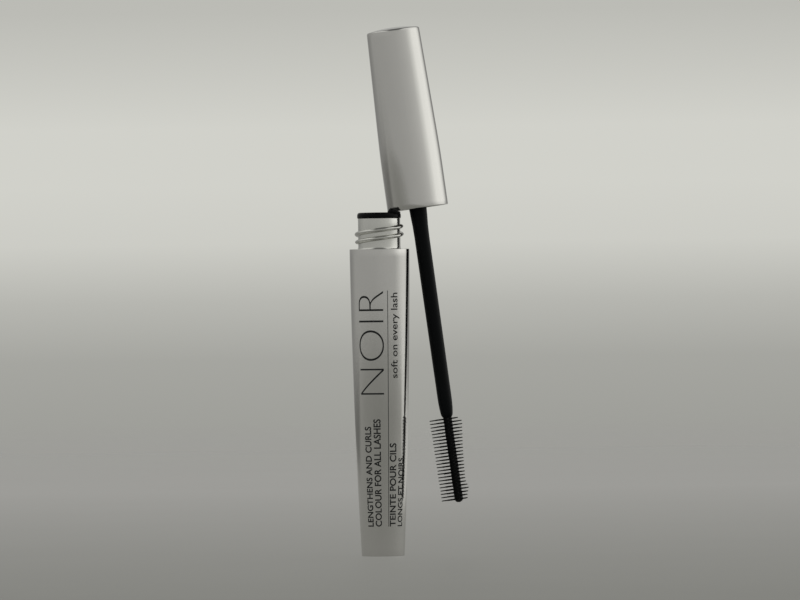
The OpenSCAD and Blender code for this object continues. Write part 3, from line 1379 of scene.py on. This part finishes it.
@dataclass
class Wand:
    """The rod with its collar, and the moulded brush pegged into its nose."""

    pose: Leaning
    radius: float = 1.925 * MM
    flare: float = 0.1 * MM
    reach: float = 57.1 * MM
    first_ring: float = 0.4 * MM
    nose: float = 6.0 * MM
    seat_radius: float = 2.92 * MM
    seat_slope: float = 0.2 * MM
    seat_rise: float = 6.0 * MM
    top: float = 20 * MM
    top_edge: float = 0.5 * MM
    flare_end: float = -8.0 * MM
    mouth_flare: tuple = ((0.18 * MM, -4.7 * MM), (0.36 * MM, -2.0 * MM), (0.45 * MM, 0.0))
    nose_steps: int = 10
    nose_lip: float = 0.1 * MM
    nose_edge: float = 0.12 * MM
    hole_mouth: float = 0.1 * MM
    collar_radius: float = 3.5 * MM
    collar_top: float = 9.6 * MM
    collar_height: float = 0.7 * MM
    collar_edge: float = 0.15 * MM
    core_radius: float = 1.15 * MM
    peg_radius: float = 0.9 * MM
    peg_length: float = 7.0 * MM
    peg_gap: float = 0.02 * MM
    peg_spare: float = 0.05 * MM
    peg_end: float = 0.5 * MM
    peg_chamfer: float = 0.1 * MM
    peg_shoulder: float = 0.15 * MM
    tip_length: float = 0.9 * MM
    coat: tuple = (0.7 * MM, 0.22 * MM)
    coat_starts: tuple = (0.2 * MM, 0.3 * MM)
    rings: int = 25
    pitch: float = 0.91 * MM
    rows: int = 8
    root_radius: float = 0.22 * MM
    tip_radius: float = 0.14 * MM
    root_depth: float = 0.25 * MM
    # Reaches in mm: the short side's and its rise to the root, and the long side's and its fall.
    short_side: tuple = (2.5, 1.65)
    short_start: tuple = (0.7, 6.0)
    long_side: tuple = (4.95, 0.2)
    # The bump's height in mm, and its middle and width as shares of the brush.
    tip_bump: tuple = (0.6, 0.87, 0.06)
    shortest: float = 0.97
    turned: float = 1.5
    shifted: float = 0.015
    tilted: float = 0.7
    seed: int = 11

    def rod(self) -> bpy.types.Object:
        """Turns the rod.

        Returns:
            The rod.
        """
        r, seat, top = self.radius, self.seat_radius, self.top
        tip, nose_start = self.core_radius + self.nose_lip, self.nose - self.reach
        hole, edge = self.peg_radius + self.peg_gap, self.nose_edge
        turning = Turning("rod", hole, self.peg_spare + self.peg_length - self.reach, 96)
        turning.to(hole, self.hole_mouth - self.reach)
        turning.along(fillet((tip - edge, edge - self.reach), edge, 270, 340, 3))
        for i in range(1, self.nose_steps + 1):
            t = i / self.nose_steps
            turning.to(tip + (r - tip) * math.sqrt(1 - (1 - t) ** 2), self.nose * t - self.reach)
        turning.along(sampled(
            lambda z: r + self.flare * (z - nose_start) / (self.flare_end - nose_start),
            nose_start, self.flare_end, 30)[1:])
        turning.along((r + wider, height) for wider, height in self.mouth_flare)
        turning.to(seat - self.seat_slope, self.seat_rise)
        low, high = self.collar_top - self.collar_height, self.collar_top
        rim, edge = self.collar_radius - self.collar_edge, self.collar_edge
        turning.to(seat, low)
        turning.along(fillet((rim, low + edge), edge, 270, 360, 3))
        turning.along(fillet((rim, high - edge), edge, 0, 90, 3))
        turning.along([(seat, high), (seat, top - self.top_edge), (seat - self.top_edge, top)])
        turning.to_point(top)
        return self.pose.settle_in(turning.done(40))

    def reach_at(self, share: float, angle: float) -> float:
        """A bristle's reach from the axis.

        Args:
            share: how far down the brush it is, from 0 to 1.
            angle: its angle about the axis, in degrees.

        Returns:
            The reach.
        """
        height, middle, width = self.tip_bump
        bump = height * math.exp(-((share - middle) / width) ** 2)
        first, rise = self.short_start
        short = self.short_side[0] + self.short_side[1] * (1 - share) ** 2 + bump
        short *= min(1.0, first + rise * share)
        long = self.long_side[0] - self.long_side[1] * share
        blend = (1 + math.cos(math.radians(angle))) / 2
        return (short * blend + long * (1 - blend)) * MM

    def core(self) -> bpy.types.Object:
        """Turns the brush's core, its peg and its round tip, coated unevenly.

        Returns:
            The core.
        """
        r = self.core_radius
        last = -self.reach - self.first_ring - (self.rings - 1) * self.pitch
        tip = last - self.tip_length
        start = -self.reach - self.peg_gap
        peg, peg_top = self.peg_radius, self.peg_length - self.reach
        turning = Turning("brush", self.peg_end, peg_top - self.peg_spare, 48)
        turning.along([(peg - self.peg_chamfer, peg_top - self.peg_spare),
                       (peg, peg_top - self.peg_shoulder), (peg, start), (r, start)])
        turning.along(sampled(lambda z: r, start - self.coat_starts[1], tip + r, 72))
        turning.along(fillet((0, tip + r), r, 0, -84, 9)[1:])
        turning.to_point(tip)
        core = turning.done(50)
        coated = start - self.coat_starts[0]
        Bench.roughen(core, *self.coat, lambda point: point.z < coated)
        return core

    def bristle(self) -> bpy.types.Object:
        """Makes one bristle, a millimetre long, tapered and round at its tip.

        Returns:
            The bristle along +X, its root at the origin.
        """
        Bench.clear()
        bpy.ops.mesh.primitive_circle_add(
            vertices=7, radius=self.root_radius, fill_type="NOTHING", rotation=(0, math.pi / 2, 0)
        )
        bristle = bpy.context.object
        Bench.edit(bristle, "EDGE")
        at, size, slim = 0.0, self.root_radius, self.tip_radius
        middle = (self.root_radius + slim) / 2
        for share, radius in ((0.5, middle), (0.94, slim), (0.985, slim * 0.7)):
            bpy.ops.mesh.extrude_region_move(
                TRANSFORM_OT_translate={"value": ((share - at) * MM, 0, 0)})
            change = radius / size
            bpy.ops.transform.resize(value=(1, change, change), center_override=(share * MM, 0, 0))
            at, size = share, radius
        bpy.ops.mesh.extrude_region_move(TRANSFORM_OT_translate={"value": ((1 - at) * MM, 0, 0)})
        bpy.ops.mesh.merge(type="CENTER")
        Bench.close()
        Bench.bake_place(bristle)
        return bristle

    def bristles(self) -> list[bpy.types.Object]:
        """Copies the one bristle round every ring, each tilted and trimmed a little.

        Returns:
            The bristles, each with a mesh of its own.
        """
        chance = random.Random(self.seed)
        model = self.bristle()
        root = self.core_radius - self.root_depth
        turned, shifted, tilted = self.turned, self.shifted, self.tilted
        made = []
        for ring in range(self.rings):
            share = ring / (self.rings - 1)
            height = -self.reach - self.first_ring - ring * self.pitch
            for row in range(self.rows):
                angle = 360 * row / self.rows
                trim = chance.uniform(self.shortest, 1.0)
                length = self.reach_at(share, angle) * trim - root
                copy = model.copy()
                copy.data = model.data.copy()
                bpy.context.collection.objects.link(copy)
                copy.matrix_world = (
                    Matrix.Rotation(math.radians(angle + chance.uniform(-turned, turned)), 4, "Z")
                    @ Matrix.Translation((root, 0, height + chance.uniform(-shifted, shifted) * MM))
                    @ Matrix.Rotation(math.radians(chance.uniform(-tilted, tilted)), 4, "Y")
                    @ Matrix.Diagonal((length / MM, 1, 1, 1))
                )
                made.append(copy)
        bpy.data.objects.remove(model)
        return made

    def build(self) -> None:
        """Builds and dresses both pieces."""
        rod_black = RodBlack("rod_black", lean=self.pose.lean).make()
        settle(self.rod(), Body.APPLICATOR, Slot.ROD, rod_black, "rod")
        brush = Bench.join("brush", [self.core(), *self.bristles()])
        self.pose.settle_in(brush)
        Bench.smooth(brush, 50)
        coat = WetBlack("coated_brush", gloss=0.34, patch_scale=1500, relief=0.02).make()
        settle(brush, Body.APPLICATOR, Slot.BRUSH, coat, "brush")


# ---------------------------------------------------------------- the studio


@dataclass
class Studio:
    """A pale floor, a soft studio round the object, and the camera."""

    distance: float = 2.0
    lens: float = 333.3
    sensor: float = 36.0
    roll: float = math.radians(-0.72)
    aim: tuple = (0.00539, 0.069)
    floor_radius: float = 2.5
    floor_full: float = 0.6
    # Stops: the view's rise and its brightness, then azimuth in degrees and brightness.
    backdrop: tuple = (
        (-1.0, 0.28), (-0.05, 0.28), (-0.0175, 0.345), (-0.0095, 0.365), (-0.0035, 0.41),
        (0.0027, 0.515), (0.0075, 0.60), (0.0149, 0.637), (0.024, 0.637), (0.031, 0.57),
        (0.0405, 0.49), (1.0, 0.5),
    )
    level_ring: tuple = (
        (-180, 0.45), (-168, 0.36), (-150, 0.24), (-131, 0.29), (-110, 0.38), (-60, 0.385),
        (-20, 0.39), (0, 0.41), (35, 0.43), (61, 0.44), (75, 0.54), (90, 0.68), (108, 0.74),
        (121, 0.69), (133, 0.28), (165, 0.24), (174, 0.40), (180, 0.45),
    )
    raised_ring: tuple = (
        (-180, 0.45), (-150, 0.30), (-90, 0.40), (0, 0.42), (28, 0.47), (45, 0.52), (56, 0.58),
        (70, 0.76), (85, 0.98), (115, 1.04), (130, 0.88), (142, 0.50), (150, 0.26), (165, 0.24),
        (180, 0.45),
    )
    raised_height: float = 0.11
    roof_start: tuple = (0.35, 0.7)
    roof_sides: tuple = (0.30, 0.55)
    roof_dark: tuple = (0.12, 0.12, 0.117)
    roof_light: tuple = (0.75, 0.745, 0.72)
    backdrop_tint: tuple = (1.0, 1.0, 0.93)
    studio_tint: tuple = (1.0, 0.995, 0.955)
    # The floor's colour runs darker towards the front and lighter behind.
    floor_depth: tuple = (-0.3, 0.7)
    floor_near: tuple = (0.042, 0.042, 0.0385)
    floor_far: tuple = (0.107, 0.106, 0.100)
    # Painted shade darkens the floor behind the object to the left, and a painted glow lightens it to
    # the right; the silver reflects both.
    painted_shade_west: tuple = (-0.25, -0.45)
    painted_shade_north: tuple = (0.12, 0.3)
    glow_east: tuple = (0.12, 0.20)
    glow_north: tuple = (0.02, 0.15)
    # Colours of the floor's emission, a painted glow, from front to back, then of its painted shade
    # and its bright side.
    glow_near: tuple = (0.283, 0.283, 0.260)
    glow_far: tuple = (0.433, 0.428, 0.407)
    painted_shade_tone: tuple = (0.06, 0.06, 0.055)
    glow_side: tuple = (0.78, 0.775, 0.74)

    def camera(self) -> None:
        """Sets up the camera, far off on a long lens."""
        made = bpy.data.cameras.new("camera")
        made.lens = self.lens
        made.sensor_width = self.sensor
        made.clip_end = 20
        holder = bpy.data.objects.new("camera", made)
        holder.matrix_world = (
            Matrix.Translation((self.aim[0], -self.distance, self.aim[1]))
            @ Matrix.Rotation(math.pi / 2, 4, "X") @ Matrix.Rotation(self.roll, 4, "Z")
        )
        bpy.context.collection.objects.link(holder)
        bpy.context.scene.camera = holder

    def world(self) -> None:
        """Paints the pale backdrop that is seen, and the studio that lights and reflects."""
        world = bpy.data.worlds.new("studio")
        world.use_nodes = True
        bpy.context.scene.world = world
        sheet = Sheet(world.node_tree)
        ways = sheet.node("ShaderNodeSeparateXYZ", {}, {0: sheet.node(
            "ShaderNodeTexCoord").outputs["Generated"]})
        east, north, up = (Value(sheet, ways.outputs[i]) for i in range(3))
        low = [((z + 1) / 2, self._grey(v, self.backdrop_tint)) for z, v in self.backdrop]
        seen = sheet.node("ShaderNodeValToRGB", {"stops": low}, {0: (up + 1) * 0.5})
        azimuth = east.arctan(north * -1) * (0.5 / math.pi) + 0.5
        rings = [
            sheet.node("ShaderNodeValToRGB", {"stops": [
                ((a + 180) / 360, self._grey(v, self.studio_tint)) for a, v in ring
            ]}, {0: azimuth}).outputs[0]
            for ring in (self.level_ring, self.raised_ring)
        ]
        lit = sheet.between(*rings, up.ramp(0.0, self.raised_height))
        roof = sheet.between(
            self.roof_dark, self.roof_light, east.size().ramp(*self.roof_sides)
        )
        roofed = sheet.between(lit, roof, up.ramp(*self.roof_start))
        camera_ray = sheet.node("ShaderNodeLightPath").outputs["Is Camera Ray"]
        shown = sheet.between(roofed, seen.outputs[0], camera_ray)
        light = sheet.node("ShaderNodeBackground", {}, {"Color": shown})
        sheet.node("ShaderNodeOutputWorld", {}, {"Surface": light.outputs[0]})

    @staticmethod
    def _grey(value: float, tint: tuple) -> tuple:
        """A tinted grey with full alpha."""
        return tuple(value * share for share in tint) + (1.0,)

    def floor(self) -> None:
        """Lays the pale, matte floor, which fades into the backdrop. Its emission is painted light
        that fills in the shadow the object casts on it.
        """
        Bench.clear()
        bpy.ops.mesh.primitive_circle_add(
            vertices=128, radius=self.floor_radius, fill_type="TRIFAN", location=(0, 0, 0)
        )
        floor = bpy.context.object
        floor.name = "floor"
        material = bpy.data.materials.new("floor")
        material.use_nodes = True
        sheet = Sheet(material.node_tree)
        away = sheet.node("ShaderNodeVectorMath", {"operation": "LENGTH"},
                          {0: sheet.object_point()}).outputs["Value"]
        fade = sheet.node("ShaderNodeMapRange", {"interpolation_type": "SMOOTHSTEP"},
                          {0: away, 1: self.floor_full, 2: self.floor_radius, 3: 1.0, 4: 0.0})
        haze = sheet.noise(9, 3)
        split = sheet.node("ShaderNodeSeparateXYZ", {}, {0: sheet.object_point()})
        east, north = (Value(sheet, split.outputs[i]) for i in range(2))
        # Darker towards the front of the floor and lighter behind, in both its colour and its glow.
        tone = north.ramp(*self.floor_depth) * 0.9 + haze * 0.1
        # Painted shade: a dark patch on the floor behind the object, to the left.
        painted_shade_mask = east.ramp(*self.painted_shade_west) * north.ramp(*self.painted_shade_north) * 0.8
        # Painted light: a bright glowing patch on the floor to the right of the object.
        glow = (east - north * 0.06).ramp(*self.glow_east) * north.ramp(*self.glow_north)
        light = sheet.between(self.glow_near, self.glow_far, tone)
        light = sheet.between(light, self.painted_shade_tone, painted_shade_mask)
        shader = sheet.node("ShaderNodeBsdfPrincipled")
        # The emission is painted light: the floor glows, which softens the shadow under the object.
        _feed(
            sheet, shader,
            Base_Color=sheet.between(self.floor_near, self.floor_far, tone),
            Emission_Color=sheet.between(light, self.glow_side, glow),
            Emission_Strength=0.60,
            Roughness=0.50 + haze * 0.1,
            Alpha=fade.outputs[0],
            Specular_IOR_Level=0.1,
        )
        sheet.node("ShaderNodeOutputMaterial", {}, {"Surface": shader.outputs[0]})
        floor.data.materials.append(material)

    def build(self) -> None:
        """Sets up the camera, the light and the floor."""
        self.camera()
        self.world()
        self.floor()
        bpy.context.scene.view_settings.view_transform = "Standard"


def main() -> None:
    """Builds every sub-assembly in order."""
    logging.basicConfig(level=logging.INFO, format="%(message)s")
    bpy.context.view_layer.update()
    Studio().build()
    bottle = Bottle()
    sleeve = bottle.build()
    vial = Vial(bottle)
    vial.build()
    wiper = Wiper(vial)
    wiper.build()
    Product(vial, wiper).build()
    Print(bottle, sleeve).build()
    pose = Leaning()
    Cap(pose).build()
    SealingWasher(pose).build()
    Wand(pose).build()
    Bench.clear()


if __name__ == "__main__":
    main()
